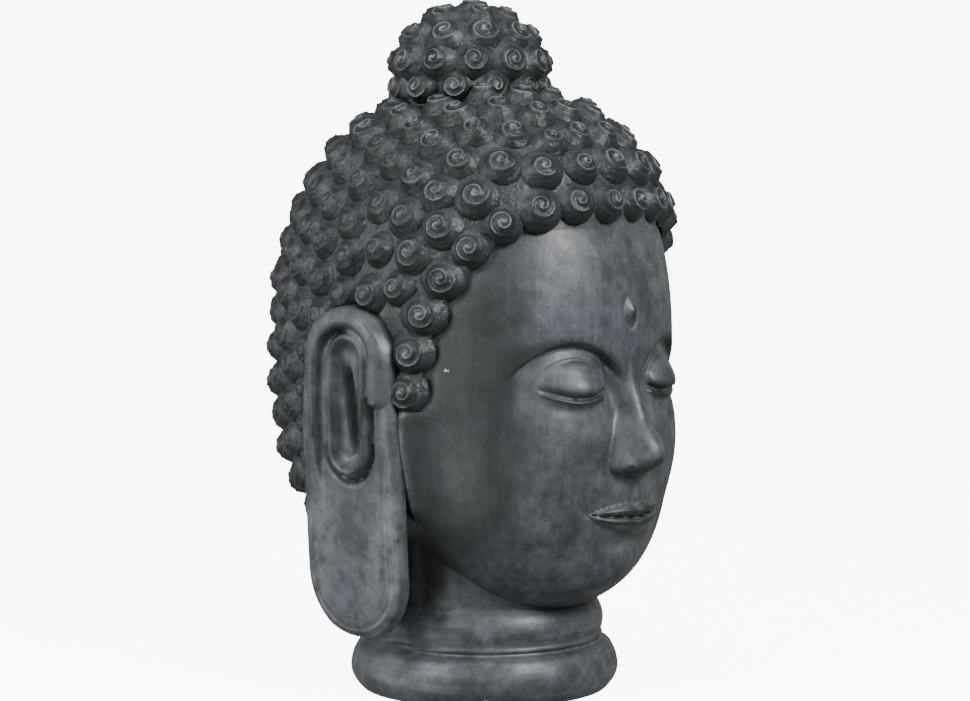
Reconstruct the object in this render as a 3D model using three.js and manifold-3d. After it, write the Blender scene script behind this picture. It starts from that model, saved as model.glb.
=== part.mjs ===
// A Buddha head, cast in one piece as a garden ornament: a full round head with snail-shell curls,
// a curled crown bump, long pierced-looking ears and a neck of two soft folds that flares to the foot.
// Millimetres, +Z up. The face looks along -Y and the underside of the foot lies on z = 0.
import * as THREE from "three";
import { ConvexHull } from "three/addons/math/ConvexHull.js";
import { mergeVertices } from "three/addons/utils/BufferGeometryUtils.js";
import Module from "manifold-3d";

// ---- Driving dimensions ----
const SKULL = { y: 6, z: 290, side: 144, front: 171, back: 169, top: 216 };
const REACH_DOWN = { front: 219, side: 185, back: 178, pole: 190 }; // skull centre to the underside
const HAIR = { edge: 8, side: 10, front: 15, slope: 36 }; // thickness at its edge and away from it
const HAIRLINE = { front: 412, sideburn: 256, nape: 120, bend: 18, temple: 65 }; // heights, then turns
const CROWN = { y: 17, z: 534, side: 60, depth: 62, rise: 53 }; // the bump on top of the head
const CURL = { sides: 6, radius: 15.5, height: 10, spacing: 33, gap: 30.5, crown: 31, inset: 14 };
const FOOT = { radius: 117, height: 43 };
const NECK = { radius: 97, top: 200 };
const SLIVER = 0.25; // edges and steps smaller than this are smoothed out of the joined solid
const EAR = { x: 151, tuck: 16, y: 14, lean: -7, bottom: 57, top: 340, thickness: 30 };
const EAR_HALF = { lobe: 55, shell: 49 }; // half the width, which is also the radius of each round end

// Heights of the face on the sculptor's canon: hairline to brow, brow to nose and nose to chin are thirds.
const BROW = 311;
const EYE = { z: 276, inner: 27, outer: 87 };
const NOSE = { root: 298, tip: 214, base: 200, rootFront: 161, tipFront: 197 };
const MOUTH = { z: 164, half: 44 };
const CHIN = 117;

const DEG = Math.PI / 180;
const { abs, cos, exp, floor, hypot, max, min, pow, round, sin, sqrt } = Math;

// ---- Small helpers ----
const clamp = (t, low = 0, high = 1) => min(max(t, low), high);
const mix = (a, b, t) => a + (b - a) * t;
const ramp = (from, to, t) => {
  const s = clamp((t - from) / (to - from));
  return s * s * (3 - 2 * s);
};
const bell = (...distances) => exp(-distances.reduce((sum, d) => sum + d * d, 0));
const dome = (...distances) => pow(clamp(1 - distances.reduce((sum, d) => sum + d * d, 0)), 2);
const span = (from, to, step) =>
  Array.from({ length: round((to - from) / step) + 1 }, (_, i) => from + i * step);
const softMax = (a, b, blend) => max(a, b) + pow(max(blend - abs(a - b), 0), 2) / (4 * blend);

// ---- The head without hair or face ----
// A rounded box of circles: flat enough in front for a face, tapering below the ears towards the chin.
// turn goes round from the face at 0 to the back at pi, and tilt down from the top at 0.
function skullPoint(turn, tilt, grow) {
  const front = pow(max(cos(turn), 0), 1.5);
  const back = pow(max(-cos(turn), 0), 1.5);
  const rise = cos(tilt);
  const depth = (cos(turn) > 0 ? SKULL.front : SKULL.back) + grow;
  const down = REACH_DOWN.side + (REACH_DOWN.front - REACH_DOWN.side) * front
    + (REACH_DOWN.back - REACH_DOWN.side) * back;
  const above = SKULL.top - 9 * front * (1 - ramp(0.8, 1, rise));
  const below = mix(down, REACH_DOWN.pole, ramp(0.94, 1, -rise));
  const reach = (rise > 0 ? above : below) + grow;
  const squareness = rise > 0 ? 2.35 + 0.35 * front : 2.3 + 1.7 * front + 0.4 * back;
  const flat = 2.3;
  const level = pow(
    pow(abs(sin(tilt) * sin(turn)) / (SKULL.side + grow), flat)
    + pow(abs(sin(tilt) * cos(turn)) / depth, flat), 1 / flat);
  const radius = pow(pow(level, squareness) + pow(abs(rise) / reach, squareness), -1 / squareness);
  return new THREE.Vector3(
    radius * sin(tilt) * sin(turn),
    SKULL.y - radius * sin(tilt) * cos(turn),
    SKULL.z + radius * rise);
}

// ---- The face: how far forward of the skull each place stands ----
function browHeight(a) {
  return BROW - 26 * pow(abs((a - 60) / 46), 2.1);
}

function eyeForward(a, z) {
  const below = browHeight(a) - z;
  const sideways = ramp(8, 24, a) * (1 - ramp(84, 112, a));
  const socket = -9 * ramp(0, 5, below) * (1 - ramp(14, 64, below)) * sideways;
  const ball = 12 * dome((a - 57) / 40, (z - EYE.z - 3) / 27);
  const along = clamp((a - EYE.inner) / (EYE.outer - EYE.inner));
  const arch = 4 * along * (1 - along);
  const window = ramp(0, 0.1, along) * (1 - ramp(0.9, 1, along));
  const slit = EYE.z - 3 + 3 * along - 7 * arch;
  const crease = EYE.z + 1 + 19 * pow(arch, 0.7);
  const lid = 3 * ramp(-1, 1, z - slit) * (1 - ramp(1, 17, z - slit));
  const opening = -2.5 * ramp(-5.5, -3.5, z - slit) * (1 - ramp(-1, 0.5, z - slit));
  const rim = 2 * bell((z - slit + 7) / 2.6);
  const fold = -1.6 * bell((z - crease) / 2);
  return socket + ball + window * (lid + opening + rim + fold);
}

// A lip's swell: it starts part way up at the seam, rounds over at its peak and ends at t = 1.
function lip(t, peak, seam) {
  if (t < peak) return seam + (1 - seam) * sin((0.5 * Math.PI * t) / peak);
  return pow(clamp(1 - pow((t - peak) / (1 - peak), 2)), 0.8);
}

function lipsForward(a, z) {
  const taper = clamp(1 - pow(a / MOUTH.half, 2));
  const line = MOUTH.z + 3.5 * pow(a / MOUTH.half, 2) - bell(a / 7);
  const upperHeight = 11.5 * pow(taper, 0.9) - 2 * bell(a / 5) + 0.01;
  const lowerHeight = 14.5 * pow(taper, 0.7) + 0.01;
  const upper = 6.5 * lip(clamp((z - line) / upperHeight), 0.4, 0.45);
  const lower = 7.5 * lip(clamp((line - z) / lowerHeight), 0.4, 0.39);
  const groove = -1.6 * bell((z - line) / 2) * (1 - ramp(MOUTH.half - 6, MOUTH.half + 6, a));
  const corner = -2.5 * bell((a - MOUTH.half - 2) / 8, (z - line - 1) / 7);
  return (z > line ? upper : lower) * pow(taper, 0.45) + groove + corner;
}

function noseFront(a, z) {
  const down = clamp((NOSE.root - z) / (NOSE.root - NOSE.tip));
  const bridgeFront = mix(NOSE.rootFront, NOSE.tipFront - 4, pow(down, 1.1));
  const bridgeEnd = 0.2 * pow(max(NOSE.tip - z, 0), 2) + 0.03 * pow(max(z - NOSE.root, 0), 2);
  const bridge = bridgeFront - bridgeEnd - 10 * pow(a / mix(9, 12.5, down), 2);
  const below = max(NOSE.tip - z, 0);
  const above = max(z - NOSE.tip, 0);
  const tip = NOSE.tipFront - 0.05 * a * a - 0.09 * below * below - 0.02 * above * above;
  const wingDrop = max(NOSE.base + 8 - z, 0);
  const wingRise = max(z - NOSE.base - 8, 0);
  const outer = max(a - 17, 0);
  const wing = 182 - 0.16 * outer * outer - 0.03 * pow(min(a - 17, 0), 2)
    - 0.25 * wingDrop * wingDrop - 0.04 * wingRise * wingRise;
  return softMax(softMax(bridge, tip, 6), wing, 5);
}

function carveFace(point) {
  const a = abs(point.x);
  const z = point.z;
  const mouthMound = 8 * dome(a / 58, (z - MOUTH.z - 2) / 42);
  const chin = 12 * dome(a / 40, (z - CHIN) / 34) - 4.5 * bell(a / 24, (z - 141) / 6.5);
  const cheek = 6 * dome((a - 70) / 56, (z - 218) / 54);
  const philtrum = -2 * bell(a / 4.5, (z - 186) / 10);
  const mark = 4.5 * dome(a / 8, (z - 334) / 13);
  let front = -point.y + eyeForward(a, z) + mouthMound + lipsForward(a, z) + chin + cheek
    + philtrum + mark;
  front = softMax(front, noseFront(a, z), 7);
  const nostril = -6 * bell((a - 9.5) / 5, (z - 201) / 3.5);
  point.y = -(front + nostril);
  return point;
}

// ---- Hair ----
// Lower end of the hair behind the temple: the sideburn, then down to the nape behind the ear.
const hairFoot = (a) =>
  HAIRLINE.sideburn - (HAIRLINE.sideburn - HAIRLINE.nape) * ramp(97 * DEG, 112 * DEG, a);

// How far a place lies inside the hair. The hairline is level over the brow, then a quarter of an
// ellipse down to the sideburn; behind that the hair ends at its foot.
function depthInHair(turn, z) {
  const a = abs(Math.atan2(sin(turn), cos(turn)));
  const wide = (HAIRLINE.temple - HAIRLINE.bend) * DEG * SKULL.side;
  const high = HAIRLINE.front - HAIRLINE.sideburn;
  const around = max(a - HAIRLINE.bend * DEG, 0) * (SKULL.side / wide);
  const up = max(z - HAIRLINE.sideburn, 0.01) / high;
  const level = hypot(around, up);
  const overFace = ((level - 1) * level) / hypot(around / wide, up / high);
  const step = 0.01;
  const fall = (hairFoot(a + step) - hairFoot(a - step)) / (2 * step * SKULL.side);
  return min(overFace, (z - hairFoot(a)) / hypot(1, fall));
}

// The ground the curls stand on: thin at the hairline and fuller further in, most of all in front.
function hairSurface(turn, tilt) {
  const depth = depthInHair(turn, skullPoint(turn, tilt, 0).z);
  const full = mix(HAIR.side, HAIR.front, ramp(0, 0.8, cos(turn)) * ramp(0, 0.9, sin(tilt)));
  return skullPoint(turn, tilt, mix(HAIR.edge, full, ramp(0, HAIR.slope, depth)));
}

// A dome over a short column that flares a little into the hair.
function crownSurface(turn, tilt) {
  const level = tilt < Math.PI / 2 ? sin(tilt) : 1.2 - 0.2 * sin(tilt);
  return new THREE.Vector3(
    CROWN.side * level * sin(turn),
    CROWN.y - CROWN.depth * level * cos(turn),
    CROWN.z + CROWN.rise * cos(tilt));
}

// The cheek's swelling in front of the ear, which fills the corner between them.
const earBed = (a, y, z) =>
  15 * bell((y + 42) / 20) * ramp(90, 115, a) * ramp(120, 175, z) * (1 - ramp(245, 275, z));

function headPoint(turn, tilt) {
  const bare = skullPoint(turn, tilt, 0);
  const cover = ramp(-1.5, 1.5, depthInHair(turn, bare.z));
  const face = cos(turn) > 0.1 ? carveFace(bare.clone()) : bare.clone();
  face.x += Math.sign(bare.x) * earBed(abs(bare.x), bare.y, bare.z);
  return face.lerp(hairSurface(turn, tilt), cover);
}

// ---- Ears ----
const earMiddle = (z) => EAR.y + EAR.lean * ramp(110, 310, z);

// Distance of the slab's middle from the head's axis: the lobe is tucked in.
const earSide = (z) => EAR.x - EAR.tuck * clamp((260 - z) / 190);

const earHalfWidth = (z) => {
  const full = mix(EAR_HALF.lobe, EAR_HALF.shell, ramp(170, 290, z));
  const up = clamp((z - (EAR.top - EAR_HALF.shell)) / EAR_HALF.shell);
  const down = clamp((EAR.bottom + EAR_HALF.lobe - z) / EAR_HALF.lobe);
  return full * sqrt(max(1 - up * up, 0)) * sqrt(max(1 - down * down, 0));
};

const inEar = (y, z, margin) =>
  z > EAR.bottom - margin && z < EAR.top + margin
  && abs(y - earMiddle(z)) < max(earHalfWidth(clamp(z, EAR.bottom + 12, EAR.top - 12)), 30) + margin;

// Distance from a place on the ear to the spine of a round-ended loop.
const fromSpine = (f, z, centre, low, high) => hypot(f - centre, z - clamp(z, low, high));

// Height of the ear's carving, where f runs towards the face: the rolled rim, which ends in a round
// arm in front, the inner ring in its groove, the bowl inside it and its narrow slot.
function earRelief(f, z) {
  const rim = hypot(f, max(z - EAR.top + EAR_HALF.shell, 0));
  const fromRoll = hypot(rim - 38, f > 0 ? max(267 - z, 0) : 0);
  const roll = 8 * (1 - ramp(4, 12, fromRoll)) * (f > 0 ? 1 : ramp(165, 235, z));
  const ring = fromSpine(f, z, 4.5, 219, 295);
  const loop = 5 * bell((ring - 18.5) / 4.5);
  const moat = -6 * bell((ring - 26) / 3.4);
  const bowl = -5 * (1 - ramp(5, 18, ring));
  const slitWidth = 5 * sin(clamp((z - 204) / 94) * Math.PI) + 0.01;
  const slit = abs(f - 7 + 8 * ramp(240, 298, z)) / slitWidth;
  const slot = -10 * (1 - ramp(0.1, 1.4, slit)) * ramp(202, 222, z) * ramp(300, 288, z);
  const inset = EAR_HALF.lobe - hypot(f, max(EAR.bottom + EAR_HALF.lobe - z, 0));
  const bevel = -4 * clamp(1 - inset / 9) * ramp(215, 165, z);
  return roll + loop + moat + bowl + slot + bevel;
}

// ---- Curls ----
function frameOn(surface, turn, tilt) {
  const step = 0.004;
  const along = surface(turn + step, tilt).sub(surface(turn - step, tilt));
  const down = surface(turn, tilt + step).sub(surface(turn, tilt - step));
  const out = new THREE.Vector3().crossVectors(down, along).normalize();
  const side = along.normalize();
  return { at: surface(turn, tilt), out, side, up: new THREE.Vector3().crossVectors(out, side) };
}

// The lowest tilt down to which a test holds, found by halving.
function tiltWhile(holds) {
  let low = 0.2;
  let high = 2.8;
  for (let i = 0; i < 30; i++) {
    const middle = (low + high) / 2;
    if (holds(middle)) low = middle;
    else high = middle;
  }
  return low;
}

// Places in one row along the hairline, from the middle of the forehead to the sideburn.
function borderPlaces() {
  const bend = HAIRLINE.bend * DEG;
  const wide = (HAIRLINE.temple - HAIRLINE.bend) * DEG + CURL.inset / SKULL.side;
  const high = HAIRLINE.front - HAIRLINE.sideburn + CURL.inset;
  const swings = span(0, 60, 1).map((i) => (Math.acos(CURL.inset / high) * i) / 60);
  const line = [
    ...span(0, 18, 1).map((i) => ({ turn: (bend * i) / 19, z: HAIRLINE.sideburn + high })),
    ...swings.map((t) => ({ turn: bend + wide * sin(t), z: HAIRLINE.sideburn + high * cos(t) })),
  ];
  let length = 0;
  line.forEach((place, i) => {
    place.tilt = tiltWhile((tilt) => hairSurface(place.turn, tilt).z > place.z);
    place.at = hairSurface(place.turn, place.tilt);
    length += i > 0 ? place.at.distanceTo(line[i - 1].at) : 0;
    place.length = length;
  });
  const gaps = floor(length / CURL.spacing) + 0.5;
  return span(0.5, gaps, 1).map((k) => {
    const i = max(line.findIndex((place) => place.length > (k * length) / gaps - 1e-6), 1);
    const [from, to] = [line[i - 1], line[i]];
    const part = ((k * length) / gaps - from.length) / (to.length - from.length);
    return { turn: mix(from.turn, to.turn, part), tilt: mix(from.tilt, to.tilt, part) };
  });
}

// A curl may stand well inside the hair, clear of the ears and of the crown bump.
function mayStand({ turn, tilt }) {
  const { x, y, z } = hairSurface(turn, tilt);
  return depthInHair(turn, z) > 9 && tilt < 150 * DEG
    && !(abs(x) > 90 && inEar(y, z, 8))
    && !(z > 480 && hypot(x, y - CROWN.y) < CROWN.side + 6);
}

// A place's point on the left of the head and the same on the right.
function twins({ turn, tilt }) {
  const at = hairSurface(turn, tilt);
  return [at, new THREE.Vector3(-at.x, at.y, at.z)];
}

// Sets further curls one by one, each on the free place nearest to the hairline.
function packed(border) {
  const placed = border.flatMap(twins);
  const spare = span(0, 180, 2).flatMap((turn) => span(14, 149, 1.5).map((tilt) => ({
    turn: turn * DEG, tilt: tilt * DEG }))).filter(mayStand);
  for (const site of spare) {
    site.at = hairSurface(site.turn, site.tilt);
    site.fromEdge = min(...placed.map((other) => other.distanceTo(site.at)));
  }
  const sites = [...border];
  for (const site of spare.sort((one, other) => one.fromEdge - other.fromEdge)) {
    const clearOfTwin = abs(site.at.x) < 1 || 2 * site.at.x > CURL.gap;
    if (!clearOfTwin || placed.some((other) => other.distanceTo(site.at) <= CURL.gap)) continue;
    sites.push({ turn: site.turn, tilt: site.tilt });
    placed.push(...twins(site));
  }
  return sites;
}

// Pushes the curls apart a little, over and over, until they are evenly spread; those along the
// hairline stay, and those on the middle line stay on it.
function settled(sites, fixed) {
  const step = 0.004;
  const reach = 1.2 * CURL.spacing;
  for (let pass = 0; pass < 30; pass++) {
    const others = sites.flatMap(twins);
    sites = sites.map((site, i) => {
      const { turn, tilt } = site;
      const { at, side, up } = frameOn(hairSurface, turn, tilt);
      const push = new THREE.Vector3();
      for (const other of others) {
        const distance = other.distanceTo(at);
        if (distance < 1e-6 || distance > reach) continue;
        push.addScaledVector(at.clone().sub(other), 0.3 * (reach / distance - 1));
      }
      const around = hairSurface(turn + step, tilt).distanceTo(hairSurface(turn - step, tilt));
      const along = hairSurface(turn, tilt + step).distanceTo(hairSurface(turn, tilt - step));
      const moved = {
        turn: sin(turn) < 0.01 ? turn : turn + (2 * step * push.dot(side)) / around,
        tilt: tilt - (2 * step * push.dot(up)) / along,
      };
      return i >= fixed && mayStand(moved) ? moved : site;
    });
  }
  return sites;
}

const mirrored = (site) => Object.fromEntries(Object.entries(site).map(([name, v]) =>
  [name, new THREE.Vector3(-v.x, v.y, v.z)]));

// Curls for the whole head, alike left and right.
function headSites() {
  const border = borderPlaces();
  return settled(packed(border), border.length).flatMap(({ turn, tilt }) => {
    const site = frameOn(hairSurface, turn, tilt);
    return sin(turn) > 0.01 ? [site, mirrored(site)] : [site];
  });
}

// Five rings of curls on the crown bump.
function crownSites() {
  return [3, 29, 55, 80, 104].flatMap((tilt, k) => {
    const girth = 2 * Math.PI * CROWN.side * sin(tilt * DEG);
    const count = max(floor(girth / CURL.crown + 0.5), 1);
    return span(0, count - 1, 1).map((i) =>
      frameOn(crownSurface, (2 * Math.PI * (i + 0.5 * (k % 2))) / count, tilt * DEG));
  });
}

// ---- Meshes ----
// Joins points into triangles as their directions from a centre lie on a sphere.
function joinAround(centre, points) {
  const directions = points.map((p) => p.clone().sub(centre).normalize());
  const index = new Map(directions.map((d, i) => [d, i]));
  const triangles = [];
  for (const face of new ConvexHull().setFromPoints(directions).faces) {
    const corners = [];
    let edge = face.edge;
    do {
      corners.push(index.get(edge.head().point));
      edge = edge.next;
    } while (edge !== face.edge);
    for (let i = 2; i < corners.length; i++) triangles.push(corners[0], corners[i - 1], corners[i]);
  }
  return triangles;
}

const skinAround = (centre, points) =>
  new THREE.BufferGeometry().setFromPoints(points).setIndex(joinAround(centre, points));

// Points that lie no closer together than their own clearance, first come first kept.
function thinOut(groups) {
  const kept = [];
  for (const { points, clear } of groups) {
    for (const point of points) {
      if (kept.every((other) => other.distanceTo(point) > clear)) kept.push(point);
    }
  }
  return kept;
}

// The low places between each three neighbouring curls.
function valleys(centre, sites) {
  const places = sites.map((site) => site.at);
  const triangles = joinAround(centre, places);
  const lows = [];
  for (let i = 0; i < triangles.length; i += 3) {
    const [a, b, c] = [0, 1, 2].map((k) => places[triangles[i + k]]);
    const longest = max(a.distanceTo(b), b.distanceTo(c), c.distanceTo(a));
    if (longest < 1.6 * CURL.spacing) lows.push(a.clone().add(b).add(c).divideScalar(3));
  }
  return lows;
}

// Each curl is a low faceted dome with its foot in the valleys around it.
function curlPoints(centre, sites) {
  const ring = (radius, height, phase) => sites.flatMap((site) =>
    Array.from({ length: CURL.sides }, (_, i) => site.at.clone()
      .addScaledVector(site.side, radius * sin(((i + phase) * 360 * DEG) / CURL.sides))
      .addScaledVector(site.up, radius * cos(((i + phase) * 360 * DEG) / CURL.sides))
      .addScaledVector(site.out, height)));
  return [
    { points: sites.map((site) => site.at.clone().addScaledVector(site.out, CURL.height)), clear: 1 },
    { points: ring(0.68 * CURL.radius, 0.76 * CURL.height, 0), clear: 2 },
    { points: valleys(centre, sites), clear: 3 },
    { points: ring(1.08 * CURL.radius, 0, 0.5), clear: 9 },
  ];
}

function gridPoints(turns, tilts) {
  return tilts.flatMap((tilt, k) => turns.map((turn) =>
    headPoint((turn + (k % 2 ? 0.5 * (turns[1] - turns[0]) : 0)) * DEG, tilt * DEG)));
}

function headSkin() {
  const centre = new THREE.Vector3(0, SKULL.y, SKULL.z);
  const isDetail = (p) => abs(p.x) < 90 && p.z > 258 && p.z < 302
    || abs(p.x) < 32 && p.z > 140 && p.z < 300 || abs(p.x) < 52 && p.z > 146 && p.z < 182;
  const onFace = (p) => depthInHair(Math.atan2(p.x, SKULL.y - p.y), p.z) < -4;
  const edge = span(-180, 177, 3).map((degrees) => {
    const turn = degrees * DEG;
    return headPoint(turn, tiltWhile((tilt) => depthInHair(turn, skullPoint(turn, tilt, 0).z) > -5));
  });
  const groups = [
    ...curlPoints(centre, headSites()),
    { points: edge, clear: 8 },
    { points: gridPoints(span(-40, 40, 2), span(60, 158, 1.8)).filter(isDetail), clear: 5 },
    { points: gridPoints(span(-72, 72, 4), span(60, 158, 4)).filter(onFace), clear: 11 },
    { points: gridPoints(span(-180, 174, 6), span(20, 156, 6)), clear: 14 },
    { points: [headPoint(0, 0), headPoint(0, Math.PI)], clear: 5 },
  ];
  return skinAround(centre, thinOut(groups));
}

function crownSkin() {
  const centre = new THREE.Vector3(0, CROWN.y, CROWN.z);
  const low = [118, 150].flatMap((tilt) =>
    span(0, 342, 18).map((turn) => crownSurface(turn * DEG, tilt * DEG)));
  const groups = [
    ...curlPoints(centre, crownSites()),
    { points: low, clear: 8 },
    { points: [new THREE.Vector3(0, CROWN.y, CROWN.z - CROWN.rise)], clear: 5 },
  ];
  return skinAround(centre, thinOut(groups));
}

// A closed loft through level loops of points, with a cap point at each end.
function loft(loops, first, last) {
  const sides = loops[0].length;
  const points = [first, ...loops.flat(), last];
  const triangles = [];
  const at = (row, i) => 1 + row * sides + (i % sides);
  for (let i = 0; i < sides; i++) {
    triangles.push(0, at(0, i + 1), at(0, i));
    triangles.push(points.length - 1, at(loops.length - 1, i), at(loops.length - 1, i + 1));
    for (let row = 1; row < loops.length; row++) {
      const [a, b, c, d] = [at(row - 1, i), at(row - 1, i + 1), at(row, i + 1), at(row, i)];
      triangles.push(a, b, c, a, c, d);
    }
  }
  return new THREE.BufferGeometry().setFromPoints(points).setIndex(triangles);
}

// The ear is a slab with round edges, cut level by level; side is 1 on the left and -1 on the right.
function earSkin(side) {
  const outer = [-1, -0.96, -0.84, -0.62, -0.44, -0.28, -0.1, 0.08, 0.18, 0.32, 0.46, 0.62, 0.72, 0.84,
    0.96, 1];
  const inner = [0.7, 0.2, -0.3, -0.75];
  const place = (f, out, z) => new THREE.Vector3(side * (earSide(z) + out), earMiddle(z) - f, z);
  const loopAt = (z) => {
    const half = earHalfWidth(z);
    const thick = 0.5 * EAR.thickness * pow(min(1, half / 34), 0.6);
    const edge = (share) => thick * pow(1 - pow(abs(share), 5), 1 / 5);
    const carved = (s) => edge(s) + earRelief(s * half, z) * (1 - pow(s, 8));
    const front = outer.map((s) => place(s * half, carved(s), z));
    const back = inner.map((s) => place(s * half, -edge(s), z));
    return [...front, ...back];
  };
  const loops = span(EAR.bottom + 3, EAR.top - 3, (EAR.top - EAR.bottom - 6) / 22).map(loopAt);
  const geometry = loft(loops, place(0, 0, EAR.bottom), place(0, 0, EAR.top));
  if (side > 0) geometry.index.array.reverse();
  return geometry;
}

// The neck: a flaring foot roll, one soft fold above it and a plain column up into the head.
function neckSkin() {
  const profile = (z, turn) => {
    const front = ramp(-0.25, 0.35, cos(turn));
    const foot = FOOT.radius - 0.03 * pow(max(18 - z, 0), 2) - 0.016 * pow(max(z - 18, 0), 2);
    const fold = NECK.radius + 7 - 0.02 * pow(z - 60, 2);
    const column = NECK.radius - 1;
    const groove = 5 * bell((z - FOOT.height) / 2.5) * front;
    const seam = 7 * bell((abs(turn) / DEG - 92) / 9) * ramp(4, 30, z);
    return softMax(softMax(foot, fold, 3), column, 3) - groove - seam;
  };
  const heights = [0, 4, 18, 32, 39, 43, 47, 58, 70, 79, 88, 140, NECK.top];
  const loops = heights.map((z) => span(-180, 168, 12).map((turn) => {
    const radius = profile(z, turn * DEG);
    return new THREE.Vector3(radius * sin(turn * DEG), -radius * cos(turn * DEG), z);
  }));
  return loft(loops, new THREE.Vector3(0, 0, 0), new THREE.Vector3(0, 0, NECK.top));
}

// ---- Joining ----
const wasm = await Module();
wasm.setup();

function solidOf(geometry) {
  const bare = new THREE.BufferGeometry().setAttribute("position", geometry.getAttribute("position"));
  bare.setIndex(geometry.index);
  const merged = mergeVertices(bare, 1e-3);
  return new wasm.Manifold(new wasm.Mesh({
    numProp: 3,
    vertProperties: merged.attributes.position.array,
    triVerts: new Uint32Array(merged.index.array),
  }));
}

function geometryOf(solid) {
  const { vertProperties, triVerts } = solid.getMesh();
  const geometry = new THREE.BufferGeometry();
  geometry.setAttribute("position", new THREE.BufferAttribute(vertProperties, 3));
  geometry.setIndex(new THREE.BufferAttribute(triVerts, 1));
  return geometry;
}

function castHead() {
  const pieces = [headSkin(), crownSkin(), earSkin(1), earSkin(-1), neckSkin()].map(solidOf);
  const geometry = geometryOf(pieces.reduce((whole, piece) => whole.add(piece)).simplify(SLIVER));
  geometry.computeBoundingBox();
  const { min: low, max: high } = geometry.boundingBox;
  return geometry.translate(0, -(low.y + high.y) / 2, 0);
}

const stone = new THREE.MeshStandardMaterial({ color: 0x4b5056, roughness: 0.7, metalness: 0.0 });
const head = new THREE.Mesh(castHead(), stone);
head.name = "buddha_head";

const group = new THREE.Group();
group.add(head);
export default group;
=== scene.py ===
"""A Buddha head, cast in one piece as a garden ornament, with a dry-brushed slate finish.

The head is a rounded box of circles with the face, the hair ground and the hairline worked into it.
Snail-shell curls stand on the hair and on the crown bump, long ears hang at the sides, and the neck
is a turned form of two soft folds. All sizes are in millimetres until a mesh is made.
"""

import math

import bpy
import numpy as np
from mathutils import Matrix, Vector


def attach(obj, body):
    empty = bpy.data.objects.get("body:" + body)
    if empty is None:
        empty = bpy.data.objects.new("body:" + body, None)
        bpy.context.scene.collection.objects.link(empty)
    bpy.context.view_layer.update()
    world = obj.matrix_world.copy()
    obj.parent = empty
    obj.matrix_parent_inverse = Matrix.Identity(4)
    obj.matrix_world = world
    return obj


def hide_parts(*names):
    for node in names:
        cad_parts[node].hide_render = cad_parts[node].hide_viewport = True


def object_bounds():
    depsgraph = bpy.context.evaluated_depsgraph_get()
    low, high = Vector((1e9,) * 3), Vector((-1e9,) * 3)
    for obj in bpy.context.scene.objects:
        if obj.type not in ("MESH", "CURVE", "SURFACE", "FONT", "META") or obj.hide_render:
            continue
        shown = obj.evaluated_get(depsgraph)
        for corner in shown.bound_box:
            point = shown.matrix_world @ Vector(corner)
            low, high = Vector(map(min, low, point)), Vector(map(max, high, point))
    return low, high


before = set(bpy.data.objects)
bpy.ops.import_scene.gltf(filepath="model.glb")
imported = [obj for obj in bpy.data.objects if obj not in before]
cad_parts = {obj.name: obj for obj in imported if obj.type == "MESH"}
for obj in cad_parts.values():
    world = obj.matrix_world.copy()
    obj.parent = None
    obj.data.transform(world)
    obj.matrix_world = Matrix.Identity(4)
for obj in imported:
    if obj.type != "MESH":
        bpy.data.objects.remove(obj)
CAD_LOW, CAD_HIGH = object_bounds()
NODE = "buddha_head"
MM = 0.001
DEG = math.pi / 180

# ---- Driving dimensions: lengths in millimetres, places round the head in degrees ----
SKULL = dict(y=6, z=290, side=144, front=171, back=169, top=216)
REACH_DOWN = dict(front=219, side=185, back=178, pole=190)
HAIR = dict(edge=8, side=10, front=15, slope=36)
HAIRLINE = dict(front=412, sideburn=256, nape=120, bend=18, temple=65)
CROWN = dict(y=17, z=534, side=60, depth=62, rise=53, foot=480)
CURL = dict(spacing=33, gap=30.5, crown=31, radius=15.5, height=10, inset=14)
FOOT = dict(radius=117, height=43)
NECK = dict(radius=97, top=200)
EAR = dict(x=151, tuck=16, y=14, lean=-7, bottom=57, top=340, lobe=55, shell=49, arm=267,
           thickness=30)
BROW = 311
EYE = dict(z=276, inner=27, outer=87)
NOSE = dict(root=298, tip=214, base=200, root_front=161, tip_front=197)
MOUTH = dict(z=164, half=44)
CHIN = 117
MARK = dict(z=334, half_width=8, half_height=13)
WHORL = dict(turns=1.9, steps=14, ridge=(0.0, 0.5, 0.78, 1.0), lift=0.17, lean=0.1, rim=0.76)
# skirt paint values fall towards each curl's foot: painted shade in the crease with the hair ground
SKIRT = dict(share=(0.84, 0.95, 1.08, 1.24), paint=(0.34, 0.25, 0.18, 0.22), level=1.2, hem=1.26,
             sunk=-0.35)
WEAR = dict(start=1.0, full=1.5, ridge=0.5, paint=0.35)  # turns in radians, then shares worn away
BODY_TRIANGLES = 103000
CHIPS = dict(cheek_turn=-58, cheek_tilt=90.5, foot_turn=-47, foot_z=6.5, size=2.6, flat=2, wander=7)


# ---- Small helpers ----
def clamp(t, low=0.0, high=1.0):
    return np.clip(t, low, high)


def mix(a, b, t):
    return a + (b - a) * t


def ramp(start, end, t):
    """Rises smoothly from 0 at start to 1 at end."""
    s = clamp((t - start) / (end - start))
    return s * s * (3 - 2 * s)


def bell(*distances):
    return np.exp(-sum(np.square(d) for d in distances))


def dome(*distances):
    return clamp(1 - sum(np.square(d) for d in distances)) ** 2


def soft_max(a, b, blend):
    """The larger of two, with the corner between them rounded over a band of width blend."""
    return np.maximum(a, b) + np.maximum(blend - np.abs(a - b), 0) ** 2 / (4 * blend)


def stack(x, y, z):
    return np.stack(np.broadcast_arrays(x, y, z), axis=-1).astype(float)


def unit(v):
    return v / np.linalg.norm(v, axis=-1, keepdims=True)


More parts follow.
